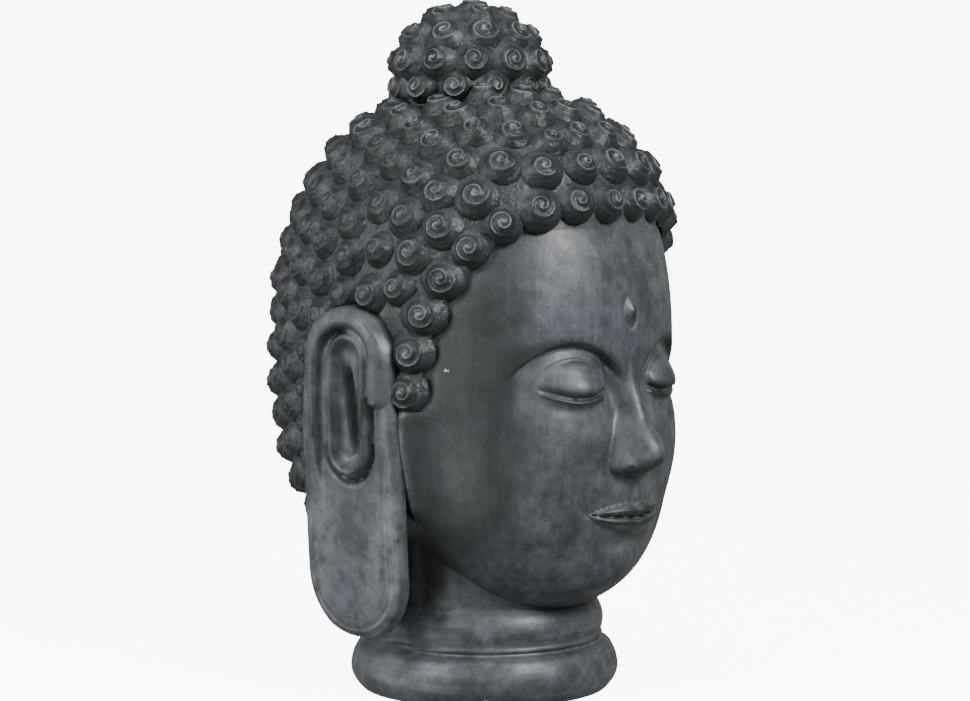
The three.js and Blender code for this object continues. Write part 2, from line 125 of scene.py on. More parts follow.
# ---- The head without hair or face ----
def skull_point(turn, tilt, grow):
    """Superellipse in plan (exponent 2.3) times one in height, each with its own half-axes.

    turn goes round from the face at 0 to the back at pi, and tilt down from the top at 0.
    """
    front = np.maximum(np.cos(turn), 0) ** 1.5
    back = np.maximum(-np.cos(turn), 0) ** 1.5
    rise = np.cos(tilt)
    depth = np.where(np.cos(turn) > 0, SKULL["front"], SKULL["back"]) + grow
    down = (REACH_DOWN["side"] + (REACH_DOWN["front"] - REACH_DOWN["side"]) * front
            + (REACH_DOWN["back"] - REACH_DOWN["side"]) * back)
    above = SKULL["top"] - 9 * front * (1 - ramp(0.8, 1, rise))
    below = mix(down, REACH_DOWN["pole"], ramp(0.94, 1, -rise))
    reach = np.where(rise > 0, above, below) + grow
    squareness = np.where(rise > 0, 2.35 + 0.35 * front, 2.3 + 1.7 * front + 0.4 * back)
    flat = 2.3
    level = (np.abs(np.sin(tilt) * np.sin(turn) / (SKULL["side"] + grow)) ** flat
             + np.abs(np.sin(tilt) * np.cos(turn) / depth) ** flat) ** (1 / flat)
    radius = (level ** squareness + np.abs(rise / reach) ** squareness) ** (-1 / squareness)
    return stack(radius * np.sin(tilt) * np.sin(turn),
                 SKULL["y"] - radius * np.sin(tilt) * np.cos(turn),
                 SKULL["z"] + radius * rise)


# ---- The face: how far forward of the skull each place stands ----
def brow_height(a):
    """The brow arc: its height falls from the middle with the distance to the power 2.1."""
    return BROW - 26 * np.abs((a - 60) / 46) ** 2.1


def eye_forward(a, z):
    """A socket under the brow arc, a round ball in it, and a lid that ends in a low curved slit."""
    below = brow_height(a) - z
    sideways = ramp(8, 24, a) * (1 - ramp(84, 112, a))
    socket = -9 * ramp(0, 5, below) * (1 - ramp(14, 64, below)) * sideways
    ball = 12 * dome((a - 57) / 40, (z - EYE["z"] - 3) / 27)
    along = clamp((a - EYE["inner"]) / (EYE["outer"] - EYE["inner"]))
    arch = 4 * along * (1 - along)
    window = ramp(0, 0.1, along) * (1 - ramp(0.9, 1, along))
    slit = EYE["z"] - 3 + 3 * along - 7 * arch
    crease = EYE["z"] + 1 + 19 * arch ** 0.7
    lid = 3 * ramp(-1, 1, z - slit) * (1 - ramp(1, 17, z - slit))
    opening = -2.5 * ramp(-5.5, -3.5, z - slit) * (1 - ramp(-1, 0.5, z - slit))
    rim = 2 * bell((z - slit + 7) / 2.6)
    fold = -1.6 * bell((z - crease) / 2)
    return socket + ball + window * (lid + opening + rim + fold)


def lip(t, peak, seam):
    """A lip's swell: it starts part way up at the seam, rounds over at its peak and ends at t = 1."""
    rise = seam + (1 - seam) * np.sin(clamp(t / peak) * math.pi / 2)
    fall = clamp(1 - ((t - peak) / (1 - peak)) ** 2) ** 0.8
    return np.where(t < peak, rise, fall)


def lips_forward(a, z):
    """Two rounded swells that meet in a gently rising line and thin out to the corners."""
    share = a / MOUTH["half"]
    taper = clamp(1 - share ** 2)
    line = MOUTH["z"] + 3.5 * share ** 2 - bell(a / 7)
    upper_height = 11.5 * taper ** 0.9 - 2 * bell(a / 5) + 0.01
    lower_height = 14.5 * taper ** 0.7 + 0.01
    upper = 6.5 * lip(clamp((z - line) / upper_height), 0.4, 0.45)
    lower = 7.5 * lip(clamp((line - z) / lower_height), 0.4, 0.39)
    groove = -1.6 * bell((z - line) / 2) * (1 - ramp(MOUTH["half"] - 6, MOUTH["half"] + 6, a))
    corner = -2.5 * bell((a - MOUTH["half"] - 2) / 8, (z - line - 1) / 7)
    return np.where(z > line, upper, lower) * taper ** 0.45 + groove + corner


def nose_front(a, z):
    """Three paraboloids joined softly: the bridge, the ball of the tip and the wings."""
    down = clamp((NOSE["root"] - z) / (NOSE["root"] - NOSE["tip"]))
    bridge_front = mix(NOSE["root_front"], NOSE["tip_front"] - 4, down ** 1.1)
    below = np.maximum(NOSE["tip"] - z, 0)
    above = np.maximum(z - NOSE["tip"], 0)
    bridge_end = 0.2 * below ** 2 + 0.03 * np.maximum(z - NOSE["root"], 0) ** 2
    bridge = bridge_front - bridge_end - 10 * (a / mix(9, 12.5, down)) ** 2
    tip = NOSE["tip_front"] - 0.05 * a ** 2 - 0.09 * below ** 2 - 0.02 * above ** 2
    wing_drop = np.maximum(NOSE["base"] + 8 - z, 0)
    wing_rise = np.maximum(z - NOSE["base"] - 8, 0)
    wing = (182 - 0.16 * np.maximum(a - 17, 0) ** 2 - 0.03 * np.minimum(a - 17, 0) ** 2
            - 0.25 * wing_drop ** 2 - 0.04 * wing_rise ** 2)
    return soft_max(soft_max(bridge, tip, 6), wing, 5)


def carve_face(point):
    """Moves points forward by the mounds of mouth, chin, cheeks, eyes, brow mark and nose."""
    a = np.abs(point[..., 0])
    z = point[..., 2]
    mouth_mound = 8 * dome(a / 58, (z - MOUTH["z"] - 2) / 42)
    chin = 12 * dome(a / 40, (z - CHIN) / 34) - 4.5 * bell(a / 24, (z - 141) / 6.5)
    cheek = 6 * dome((a - 70) / 56, (z - 218) / 54)
    philtrum = -2 * bell(a / 4.5, (z - 186) / 10)
    mark_x, mark_z = a / MARK["half_width"], (z - MARK["z"]) / MARK["half_height"]
    mark = 4.5 * dome(mark_x, mark_z) - 1.2 * bell((np.hypot(mark_x, mark_z) - 1.1) / 0.16)
    front = (-point[..., 1] + eye_forward(a, z) + mouth_mound + lips_forward(a, z) + chin + cheek
             + philtrum + mark)
    front = soft_max(front, nose_front(a, z), 7)
    nostril = -6 * bell((a - 9.5) / 5, (z - 201) / 3.5)
    return stack(point[..., 0], -(front + nostril), z)


# ---- Hair ----
def hair_foot(turn):
    """Lower end of the hair behind the temple: the sideburn, then down to the nape behind the ear."""
    a = np.abs(np.arctan2(np.sin(turn), np.cos(turn))) / DEG
    return HAIRLINE["sideburn"] - (HAIRLINE["sideburn"] - HAIRLINE["nape"]) * ramp(97, 112, a)


def depth_in_hair(turn, z):
    """How far a place lies inside the hair.

    The hairline is level over the brow, then a quarter ellipse down to the sideburn, so the depth is
    (level - 1) / slope of that ellipse, or the height over the hair's lower end where that is less.
    """
    a = np.abs(np.arctan2(np.sin(turn), np.cos(turn)))
    wide = (HAIRLINE["temple"] - HAIRLINE["bend"]) * DEG * SKULL["side"]
    high = HAIRLINE["front"] - HAIRLINE["sideburn"]
    around = np.maximum(a - HAIRLINE["bend"] * DEG, 0) * SKULL["side"] / wide
    up = np.maximum(z - HAIRLINE["sideburn"], 0.01) / high
    level = np.hypot(around, up)
    over_face = (level - 1) * level / np.hypot(around / wide, up / high)
    step = 0.01
    fall = (hair_foot(turn + step) - hair_foot(turn - step)) / (2 * step * SKULL["side"])
    return np.minimum(over_face, (z - hair_foot(turn)) / np.hypot(1, fall))


def hair_surface(turn, tilt):
    """The ground the curls stand on: thin at the hairline, fuller further in and in front."""
    depth = depth_in_hair(turn, skull_point(turn, tilt, 0)[..., 2])
    full = mix(HAIR["side"], HAIR["front"], ramp(0, 0.8, np.cos(turn)) * ramp(0, 0.9, np.sin(tilt)))
    return skull_point(turn, tilt, mix(HAIR["edge"], full, ramp(0, HAIR["slope"], depth)))


def ear_bed(y, z):
    """The cheek's swelling in front of the ear, which fills the corner between them."""
    return 15 * bell((y + 42) / 20) * ramp(120, 175, z) * (1 - ramp(245, 275, z))


def head_point(turn, tilt):
    """The skull with the face carved in front, and the hair ground laid over it inside the hairline."""
    bare = skull_point(turn, tilt, 0)
    cover = ramp(-1.5, 1.5, depth_in_hair(turn, bare[..., 2]))[..., None]
    facing = (np.cos(turn) > 0.1)[..., None]
    face = np.where(facing, carve_face(bare), bare)
    bed = ear_bed(bare[..., 1], bare[..., 2]) * ramp(90, 115, np.abs(face[..., 0]))
    face[..., 0] += np.sign(face[..., 0]) * bed
    return mix(face, hair_surface(turn, tilt), cover)


def crown_surface(turn, tilt):
    """A dome over a short column that flares a little into the hair."""
    level = np.where(tilt < math.pi / 2, np.sin(tilt), 1.2 - 0.2 * np.sin(tilt))
    return stack(CROWN["side"] * level * np.sin(turn),
                 CROWN["y"] - CROWN["depth"] * level * np.cos(turn),
                 CROWN["z"] + CROWN["rise"] * np.cos(tilt))


# ---- Ears ----
def ear_middle(z):
    """The ear's middle, from front to back: it leans forward towards the top."""
    return EAR["y"] + EAR["lean"] * ramp(110, 310, z)


def ear_side(z):
    """Distance of the slab's middle from the head's axis: the lobe is tucked in."""
    return EAR["x"] - EAR["tuck"] * clamp((260 - z) / 190)


def ear_half_width(z):
    """Half the ear's width at a height: the long lobe, the wider shell and their round ends."""
    full = mix(EAR["lobe"], EAR["shell"], ramp(170, 290, z))
    up = clamp((z - (EAR["top"] - EAR["shell"])) / EAR["shell"])
    down = clamp((EAR["bottom"] + EAR["lobe"] - z) / EAR["lobe"])
    return full * np.sqrt(1 - up ** 2) * np.sqrt(1 - down ** 2)


def in_ear(y, z, margin):
    """Whether a place lies within the ear's outline, seen from the side, widened by a margin."""
    half = np.maximum(ear_half_width(clamp(z, EAR["bottom"] + 12, EAR["top"] - 12)), 30)
    within_height = (z > EAR["bottom"] - margin) & (z < EAR["top"] + margin)
    return within_height & (np.abs(y - ear_middle(z)) < half + margin)


def from_spine(f, z, centre, low, high):
    """Distance to the spine of a round-ended loop."""
    return np.hypot(f - centre, z - clamp(z, low, high))


def ear_relief(f, z):
    """Height of the ear's carving, where f runs towards the face.

    A rolled rim goes over the top and ends in a round arm in front. Inside it lies a ring with a
    groove all round, and in the ring a bowl with a narrow slot. The lobe's edge is bevelled. Each is
    a bell or a smooth ramp of the distance to its own middle line.
    """
    rim = np.hypot(f, np.maximum(z - EAR["top"] + EAR["shell"], 0))
    from_roll = np.hypot(rim - 38, np.where(f > 0, np.maximum(EAR["arm"] - z, 0), 0))
    roll = 8 * (1 - ramp(7, 12, from_roll)) * np.where(f > 0, 1, ramp(165, 235, z))
    ring = from_spine(f, z, 4.5, 219, 295)
    loop = 5 * bell((ring - 18.5) / 4.5)
    moat = -6 * bell((ring - 25.5) / 2.8) * mix(1, 0.35, ramp(-2, -16, f) * ramp(205, 232, z))
    bowl = -5 * (1 - ramp(5, 18, ring))
    slit = np.abs(f - 7 + 8 * ramp(240, 298, z)) - 4.5 * np.sin(clamp((z - 204) / 94) * math.pi)
    slot = -9 * ramp(3.2, -2.6, slit) * ramp(202, 238, z) * ramp(301, 274, z)
    fine_line = -2 * bell((f + 37) / 2, (z - 245) / 26)
    edge = EAR["lobe"] - np.hypot(f, np.maximum(EAR["bottom"] + EAR["lobe"] - z, 0))
    bevel = (-4 * clamp(1 - edge / 9) - 2.4 * bell((edge - 9) / 1.6)) * ramp(215, 165, z)
    return roll + loop + moat + bowl + slot + fine_line + bevel


# ---- Where the curls stand ----
def frames_on(surface, turn, tilt):
    """Places on a surface, each with its sideways, upward and outward directions."""
    step = 0.004
    side = unit(surface(turn + step, tilt) - surface(turn - step, tilt))
    down = surface(turn, tilt + step) - surface(turn, tilt - step)
    out = unit(np.cross(down, side))
    return np.stack([surface(turn, tilt), side, np.cross(out, side), out], axis=1)


def tilt_at(surface, turn, height):
    """Halves an interval of tilts until it holds the given height."""
    low = np.full_like(turn, 0.2)
    high = np.full_like(turn, 2.8)
    for _ in range(30):
        middle = (low + high) / 2
        above = surface(turn, middle)[..., 2] > height
        low, high = np.where(above, middle, low), np.where(above, high, middle)
    return low


def border_line():
    """Curls along the hairline: level from the forehead's middle, then round the temple's ellipse.

    They stand at even steps of the line's length, from half a step on.
    """
    inset = CURL["inset"]
    bend = HAIRLINE["bend"] * DEG
    wide = (HAIRLINE["temple"] - HAIRLINE["bend"]) * DEG + inset / SKULL["side"]
    high = HAIRLINE["front"] - HAIRLINE["sideburn"] + inset
    swing = np.linspace(0, math.acos(inset / high), 60)
    turns = np.r_[np.linspace(0, bend, 20)[:-1], bend + wide * np.sin(swing)]
    heights = HAIRLINE["sideburn"] + high * np.r_[np.ones(19), np.cos(swing)]
    tilts = tilt_at(hair_surface, turns, heights)
    run = np.linalg.norm(np.diff(hair_surface(turns, tilts), axis=0), axis=1)
    length = np.r_[0, np.cumsum(run)]
    gaps = int(length[-1] / CURL["spacing"]) + 0.5
    places = np.arange(0.5, gaps + 0.5) * length[-1] / gaps
    return np.stack([np.interp(places, length, turns), np.interp(places, length, tilts)], axis=1)


def may_stand(turn, tilt):
    """Whether a curl fits: inside the hairline, clear of the ears and of the crown bump."""
    x, y, z = np.moveaxis(hair_surface(turn, tilt), -1, 0)
    return ((depth_in_hair(turn, z) > 9) & (tilt < 150 * DEG)
            & ~((np.abs(x) > 90) & in_ear(y, z, 8))
            & ~((z > CROWN["foot"]) & (np.hypot(x, y - CROWN["y"]) < CROWN["side"] + 6)))


def packed(sites):
    """Sets further curls one by one, each on the free place nearest to the hairline."""
    places = np.meshgrid(np.arange(0, 181, 2) * DEG, np.arange(14, 150, 1.5) * DEG, indexing="ij")
    spare = np.stack(places, axis=-1).reshape(-1, 2)
    spare = spare[may_stand(spare[:, 0], spare[:, 1])]
    at = hair_surface(spare[:, 0], spare[:, 1])
    placed = hair_surface(sites[:, 0], sites[:, 1])
    placed = np.concatenate([placed, placed * (-1, 1, 1)])
    from_edge = np.linalg.norm(at[:, None] - placed[None, :], axis=2).min(axis=1)
    gap = CURL["gap"]
    for k in np.argsort(from_edge, kind="stable"):
        own_twin = abs(at[k, 0]) < 1 or 2 * at[k, 0] > gap
        if own_twin and (np.linalg.norm(placed - at[k], axis=1) > gap).all():
            sites = np.concatenate([sites, spare[k:k + 1]])
            placed = np.concatenate([placed, [at[k], at[k] * (-1, 1, 1)]])
    return sites


def stride(turn, tilt, turn_step, tilt_step):
    """Distance on the hair between the places one step before and one step after."""
    after = hair_surface(turn + turn_step, tilt + tilt_step)
    return np.linalg.norm(after - hair_surface(turn - turn_step, tilt - tilt_step), axis=1)


def settled(sites, fixed):
    """Pushes curls apart a little, over and over, until they are evenly spread.

    The push along each gap grows as the reach over the distance, less one.
    """
    step = 0.004
    reach = 1.2 * CURL["spacing"]
    for _ in range(30):
        turn, tilt = sites.T
        at, side, up, _ = np.moveaxis(frames_on(hair_surface, turn, tilt), 1, 0)
        others = np.concatenate([at, at * (-1, 1, 1)])
        gap = at[:, None] - others[None, :]
        distance = np.linalg.norm(gap, axis=2)
        distance[distance < 1e-6] = 1e9
        push = 0.3 * np.sum(gap * (np.maximum(reach / distance - 1, 0))[..., None], axis=1)
        around = np.sum(push * side, axis=1) / stride(turn, tilt, step, 0)
        along = -np.sum(push * up, axis=1) / stride(turn, tilt, 0, step)
        moved = sites + 2 * step * np.stack([around, along], axis=1)
        moved[:, 0] = np.where(np.sin(turn) < 0.01, turn, moved[:, 0])
        free = may_stand(moved[:, 0], moved[:, 1]) & ~fixed
        sites = np.where(free[:, None], moved, sites)
    return sites


def head_sites():
    """A row along the hairline and curls packed behind it on the left half, and the same mirrored."""
    border = border_line()
    sites = packed(border)
    sites = settled(sites, np.arange(len(sites)) < len(border))
    left = frames_on(hair_surface, sites[:, 0], sites[:, 1])
    right = left[np.sin(sites[:, 0]) > 0.01] * (-1, 1, 1)
    right[:, 1] *= -1
    return np.concatenate([left, right])


def crown_sites():
    """Five rings of curls on the crown bump."""
    rings = []
    for k, tilt in enumerate(np.array([3, 29, 55, 80, 104]) * DEG):
        girth = 2 * math.pi * CROWN["side"] * math.sin(tilt)
        count = max(int(girth / CURL["crown"] + 0.5), 1)
        turn = (np.arange(count) + 0.5 * (k % 2)) * 2 * math.pi / count
        rings.append(frames_on(crown_surface, turn, np.full(count, tilt)))
    return np.concatenate(rings)


# ---- Meshes: each shape is a pair of arrays, its points and its faces ----
def grid_faces(rows, columns, wrap):
    """Quads between the points of a grid held row after row."""
    r = np.arange(rows - 1)[:, None]
    c = np.arange(columns if wrap else columns - 1)
    a = r * columns + c
    b = r * columns + (c + 1) % columns
    return np.stack([a, b, b + columns, a + columns], axis=-1).reshape(-1, 4)


def capped(loops, first, last):
    """A closed skin through loops of points (rows, columns, 3) with a point at each end."""
    rows, columns = loops.shape[:2]
    points = np.concatenate([loops.reshape(-1, 3), [first, last]])
    c = np.arange(columns)
    after = (c + 1) % columns
    top = np.full(columns, rows * columns)
    base = (rows - 1) * columns
    start = np.stack([top, after, c, c], axis=-1)
    end = np.stack([top + 1, base + c, base + after, base + after], axis=-1)
    return points, np.concatenate([grid_faces(rows, columns, True), start, end])


def steps(*bands):
    """Values from one band to the next, each band given as (start, end, step)."""
    return np.concatenate([np.arange(start, end - step / 2, step) for start, end, step in bands])


def head_shape():
    """The head as a grid of turns and tilts, finest over the eyes, nose and mouth."""
    half = steps((0, 33, 0.42), (33, 70, 1.0), (70, 180, 3.0))
    turns = np.r_[-half[:0:-1], half, 180.0] * DEG
    tilts = steps((3, 54, 3.0), (54, 78, 0.9), (78, 102, 0.36), (102, 112, 0.6), (112, 131, 0.3),
                  (131, 150, 0.8), (150, 180, 3.0)) * DEG
    loops = head_point(turns[None, :], tilts[:, None])
    ends = head_point(np.zeros(2), np.array([0.0, math.pi]))
    return capped(loops, ends[0], ends[1])


def crown_shape():
    """The crown bump under its curls, closed inside the head."""
    turns = np.arange(0, 360, 7.5) * DEG
    tilts = np.arange(7.5, 150, 7.5) * DEG
    ends = crown_surface(np.zeros(2), np.array([0.0, 155 * DEG]))
    ends[:, 1] = CROWN["y"]
    return capped(crown_surface(turns[None, :], tilts[:, None]), ends[0], ends[1])


def neck_radius(z, turn):
    """A flaring foot roll, one soft fold above it and a plain column up into the head."""
    front = ramp(-0.25, 0.35, np.cos(turn))
    foot = FOOT["radius"] - 0.03 * np.maximum(18 - z, 0) ** 2 - 0.016 * np.maximum(z - 18, 0) ** 2
    fold = NECK["radius"] + 7 - 0.02 * (z - 60) ** 2
    column = NECK["radius"] - 1
    groove = 5 * bell((z - FOOT["height"]) / 2.5) * front
    seam = 7 * bell((np.abs(turn) / DEG - 92) / 9) * ramp(4, 30, z)
    return soft_max(soft_max(foot, fold, 3), column, 3) - groove - seam


def neck_shape():
    """The neck's radius turned round the upright axis, closed by a flat underside."""
    turns = np.arange(-180, 180, 4.0) * DEG
    z = steps((NECK["top"], 90, -10.0), (90, 50, -2.5), (50, 36, -1.0), (36, 0, -2.5))[:, None]
    z = np.concatenate([z, [[0.0]]])
    radius = neck_radius(z, turns[None, :])
    loops = stack(radius * np.sin(turns), -radius * np.cos(turns), z)
    return capped(loops, (0, 0, NECK["top"]), (0, 0, 0))


def ear_shape(side):
    """A slab with round edges, carved on its outer face. Side is 1 on the left, -1 on the right.

    Each level is a flat superellipse (exponent 5) between the ear's front and back edges.
    """
    share = np.sin(np.linspace(-0.5, 0.5, 75) * math.pi)
    inner = np.array([0.7, 0.2, -0.3, -0.75])
    z = np.r_[EAR["bottom"] + 0.4, EAR["bottom"] + 1.6,
              np.arange(EAR["bottom"] + 4, EAR["top"] - 1, 1.7), EAR["top"] - 0.6][::-1, None]
    half = ear_half_width(z)
    thick = 0.5 * EAR["thickness"] * np.minimum(1, half / 34) ** 0.6

    def edge(s):
        return thick * (1 - np.abs(s) ** 5) ** 0.2

    front = edge(share) + ear_relief(share * half, z) * (1 - np.abs(share) ** 8)
    out = np.concatenate([front, -edge(inner)], axis=1)
    forward = np.concatenate([share * half, inner * half], axis=1)
    loops = stack(side * (ear_side(z) + out), ear_middle(z) - forward, z)
    tip = [(side * ear_side(v), ear_middle(v), v) for v in (EAR["top"], EAR["bottom"])]
    points, faces = capped(loops, tip[0], tip[1])
    return points, faces[:, ::-1] if side > 0 else faces


def curl_shape():
    """The wound top of a curl, of radius 1: a strip wound from the middle outwards.

    Each winding is a thin ridge between two grooves, and the radius grows evenly with the angle. The
    ridge dies away at the rim, and a knob stands in the middle. Returns the points, whose third value
    is the nearness to a crest, the faces, and the points on the rim.
    """
    wound = np.arange(int((WHORL["turns"] + 1) * WHORL["steps"]) + 1)[:, None] / WHORL["steps"]
    angle = wound * 2 * math.pi
    radius = clamp((wound - 1 + np.array([WHORL["ridge"]])) / WHORL["turns"])
    ridge = np.array([[0.0, 0.0, 1.0, 0.0]]) * ramp(1.01, 0.94, radius)
    ridge = np.maximum(ridge, ramp(0.26, 0.1, radius))
    strip = stack(radius * np.cos(angle), radius * np.sin(angle), ridge).reshape(-1, 3)
    faces = grid_faces(*radius.shape, False)

    keys = np.round(strip[:, :2], 5) + 0.0
    _, first, place = np.unique(keys, axis=0, return_index=True, return_inverse=True)
    strip, faces = strip[first], place.reshape(-1)[faces]
    faces = faces[np.array([len(set(face)) for face in faces]) > 2]
    rim_angle = np.arange(WHORL["steps"]) * 2 * math.pi / WHORL["steps"]
    on_rim = np.array([np.argmin(np.hypot(strip[:, 0] - math.cos(t), strip[:, 1] - math.sin(t)))
                       for t in rim_angle])
    return strip, faces, on_rim


def curl_height(share):
    """A mound's height: round on top, then hollowing out into the ground, where it ends just below.

    A falling parabola over one plus a fifth power, less a small parabola.
    """
    return 1.06 * (1 - 0.3 * share ** 2) / (1 + (share / 0.95) ** 5) - 0.1 * share ** 2


def curls_on(sites):
    """A curl on every site, each turned, sized and leant a little differently.

    The wound top leans so that its lower edge stands out. Bands fall from its rim to the hair ground
    and end in a hidden floor. Their values are painted light: darker on each curl's lower side and
    towards its foot as painted shadow, paler on its upper side as painted highlight. Curls at the sides
    and the back are worn: their ridges are lower.
    """
    disc, disc_faces, on_rim = curl_shape()
    count, steps_round = len(sites), WHORL["steps"]
    chance = np.random.default_rng(11)
    spread = chance.uniform(-1, 1, (7, count, 1))
    radius = CURL["radius"] * (1 + 0.1 * spread[0])
    rise = CURL["height"] * (1 + 0.1 * spread[1])
    rim = WHORL["rim"] * (1 + 0.12 * spread[2])
    spin = -0.9 + 0.9 * spread[3]
    lean = WHORL["lean"] * (1 + 0.5 * spread[4])
    x, y, z = sites[:, 0].T
    behind = ramp(WEAR["start"], WEAR["full"], np.arctan2(np.abs(x), SKULL["y"] - y))
    worn = (behind * (z < CROWN["foot"]))[:, None]
    lift = WHORL["lift"] * (1 + 0.3 * spread[5]) * (1 - WEAR["ridge"] * worn)

    x, y, ridge = disc.T
    span = np.hypot(x, y)
    turned_x = (x * np.cos(spin) - y * np.sin(spin)) * rim
    turned_y = (x * np.sin(spin) + y * np.cos(spin)) * rim
    across, along = [turned_x], [turned_y]
    winding = lift * (ridge - 0.6 * (1 - span ** 4))
    out = [rise * (curl_height(span * rim) + winding) - lean * radius * turned_y]
    round_angle = np.arange(steps_round) * 2 * math.pi / steps_round + spin
    paint = [np.broadcast_to(ridge, (count, len(ridge))) * (1 - WEAR["paint"] * worn)]
    for share, tone in zip(SKIRT["share"], SKIRT["paint"]):
        across.append(share * np.cos(round_angle))
        along.append(share * np.sin(round_angle))
        fade = clamp((SKIRT["level"] - share) / (SKIRT["level"] - WHORL["rim"]))
        out.append(rise * curl_height(share) - fade * lean * radius * share * np.sin(round_angle))
        # painted light: each band is paler on the curl's upper side and darker on its lower side, a
        # painted shadow under the curl
        paint.append(tone + 0.24 * np.sin(round_angle))
    for side_list in (across, along):
        side_list.extend([SKIRT["hem"] * side_list[-1] / SKIRT["share"][-1], np.zeros((count, 1))])
    out.extend([np.broadcast_to(SKIRT["sunk"] * rise, (count, k)) for k in (steps_round, 1)])
    paint.append(np.full((count, steps_round + 1), 0.2))
    across, along, out = (np.concatenate(v, axis=1)[..., None] for v in (across, along, out))
    out -= (across ** 2 + along ** 2) * CURL["radius"] ** 2 / (2 * SKULL["side"])
    at, side, up, outward = (sites[:, k, None, :] for k in range(4))
    size = radius[..., None]
    points = at + side * across * size + up * along * size + outward * out

    starts = len(disc) + np.arange(len(SKIRT["share"]) + 2) * steps_round
    rings = [on_rim] + [start + np.arange(steps_round) for start in starts[:-1]]
    rings.append(np.full(steps_round, starts[-1]))
    bands = [np.stack([a, b, np.roll(b, -1), np.roll(a, -1)], axis=-1)
             for a, b in zip(rings, rings[1:])]
    faces = np.concatenate([disc_faces, *bands])
    faces = faces + (np.arange(count) * points.shape[1])[:, None, None]
    return points.reshape(-1, 3), faces.reshape(-1, 4), np.concatenate(paint, axis=1).ravel()


def joined(shapes):
    """One pair of arrays from many, with each shape's faces numbered past those before it."""
    points, faces, base = [], [], 0
    for shape_points, shape_faces in shapes:
        points.append(shape_points)
        faces.append(shape_faces + base)
        base += len(shape_points)
    return np.concatenate(points), np.concatenate(faces)


def mesh_of(name, points, faces):
    """A mesh from points in metres and quads; a quad that names one corner twice is a triangle."""
    repeats = faces == np.roll(faces, 1, axis=1)
    keep = ~repeats
    counts = keep.sum(axis=1)
    mesh = bpy.data.meshes.new(name)
    mesh.vertices.add(len(points))
    mesh.vertices.foreach_set("co", points.astype(np.float32).ravel())
    corners = faces[keep]
    mesh.loops.add(len(corners))
    mesh.loops.foreach_set("vertex_index", corners.astype(np.int32))
    mesh.polygons.add(len(faces))
    mesh.polygons.foreach_set("loop_start", np.r_[0, np.cumsum(counts)[:-1]].astype(np.int32))
    mesh.update(calc_edges=True)
    mesh.validate()
    return mesh


def object_of(mesh):
    piece = bpy.data.objects.new(mesh.name, mesh)
    bpy.context.scene.collection.objects.link(piece)
    return piece


def thinned(points, faces, most):
    """Collapses edges where the shape is flattest until the given number of triangles is left."""
    piece = object_of(mesh_of("thinning", points, faces))
    triangles = sum(len(p.vertices) - 2 for p in piece.data.polygons)
    thin = piece.modifiers.new("thin", "DECIMATE")
    thin.ratio = min(most / triangles, 1.0)
    mesh = bpy.data.meshes.new_from_object(piece.evaluated_get(bpy.context.evaluated_depsgraph_get()))
    points = np.empty(len(mesh.vertices) * 3, np.float32)
    mesh.vertices.foreach_get("co", points)
    mesh.calc_loop_triangles()
    triangles = np.empty(len(mesh.loop_triangles) * 3, np.int32)
    mesh.loop_triangles.foreach_get("vertices", triangles)
    bpy.data.objects.remove(piece)
    bpy.data.meshes.remove(mesh)
    corners = triangles.reshape(-1, 3)
    return points.reshape(-1, 3).astype(float), corners[:, [0, 1, 2, 2]]


def bulge(points, faces):
    """How far each point stands out of its neighbours, over their distance: above 0 on crests.

    The mean of (point - neighbour) . normal / distance over the edges at a point, smoothed along the
    same edges.
    """
    sides = np.concatenate([faces[:, [0, 1]], faces[:, [1, 2]], faces[:, [2, 3]], faces[:, [3, 0]]])
    sides = np.unique(np.sort(sides[sides[:, 0] != sides[:, 1]], axis=1), axis=0)
    corners = points[faces]
    across = np.cross(corners[:, 2] - corners[:, 0], corners[:, 3] - corners[:, 1])
    thin = faces[:, 2] == faces[:, 3]
    corners = corners[thin]
    across[thin] = np.cross(corners[:, 1] - corners[:, 0], corners[:, 2] - corners[:, 0])
    normal = np.zeros_like(points)
    for k in range(4):
        np.add.at(normal, faces[:, k], across)
    normal /= np.maximum(np.linalg.norm(normal, axis=1, keepdims=True), 1e-12)
    a, b = sides.T
    run = points[a] - points[b]
    length = np.maximum(np.linalg.norm(run, axis=1), 1e-9)
    total = np.zeros(len(points))
    count = np.zeros(len(points))
    np.add.at(total, a, np.sum(run * normal[a], axis=1) / length ** 2)
    np.add.at(total, b, -np.sum(run * normal[b], axis=1) / length ** 2)
    np.add.at(count, a, 1)
    np.add.at(count, b, 1)
    value = total / np.maximum(count, 1)
    for _ in range(3):
        spread = value.copy()
        np.add.at(spread, a, value[b])
        np.add.at(spread, b, value[a])
        value = spread / (count + 1)
    return value


